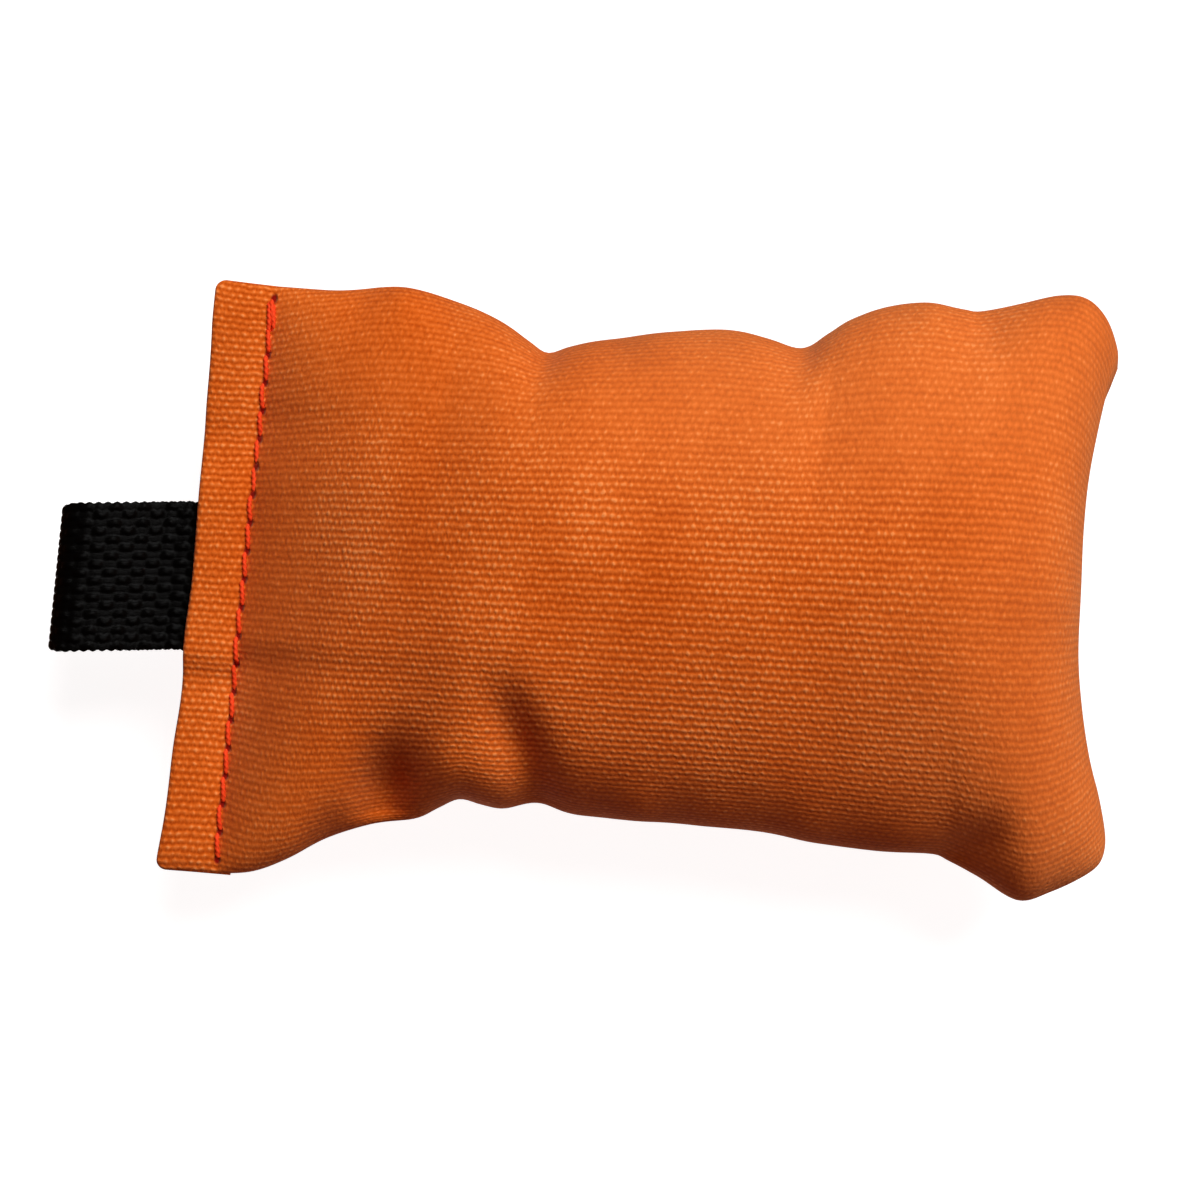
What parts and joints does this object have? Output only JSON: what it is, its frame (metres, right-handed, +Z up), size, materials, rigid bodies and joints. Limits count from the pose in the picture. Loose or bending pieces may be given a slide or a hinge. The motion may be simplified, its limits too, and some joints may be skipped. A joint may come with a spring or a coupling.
{
  "type": "training bumper",
  "caption": "Small stuffed canvas retrieving dummy for a dog: a sewn bag with a topstitched hem across its mouth and a folded webbing loop sewn into the hem.",
  "frame": {"origin": "centre of the bounding box in plan, on the floor the bumper lies on", "axes": "+X along the bag from its mouth and loop to its folded end, +Y across it, +Z up through its thickness"},
  "size_m": [0.1442, 0.0842, 0.044],
  "materials": {
    "canvas": "plain-weave cotton duck, matt",
    "webbing": "woven webbing, matt",
    "hem_thread": "twisted sewing thread",
    "side_thread": "twisted sewing thread",
    "stuffing": "loose fibre fill"
  },
  "bodies": {
    "bag": {"canvas_cover": "canvas", "fibre_stuffing": "stuffing", "far_side_seam_needle_thread": "side_thread", "far_side_seam_bobbin_thread": "side_thread", "near_side_seam_needle_thread": "side_thread", "near_side_seam_bobbin_thread": "side_thread"},
    "hem": {"mouth_hem_upper": "canvas", "mouth_hem_lower": "canvas", "webbing_tail_upper": "webbing", "webbing_tail_lower": "webbing", "closing_seam_needle_thread": "hem_thread", "closing_seam_bobbin_thread": "hem_thread"},
    "loop": {"webbing_loop": "webbing"}
  },
  "joints": [
    {"name": "hem_flex", "type": "hinge", "parent": "bag", "child": "hem", "pos_m": [-0.0416, -0.0027, 0.02], "axis": [0.0488, 0.9988, 0], "range_deg": [-25, 25], "stiffness_Nm_per_rad": 0.04},
    {"name": "loop_flex", "type": "hinge", "parent": "hem", "child": "loop", "pos_m": [-0.05465, -0.00146, 0.02], "axis": [0.0488, 0.9988, 0], "range_deg": [-80, 80], "stiffness_Nm_per_rad": 0.008}
  ]
}
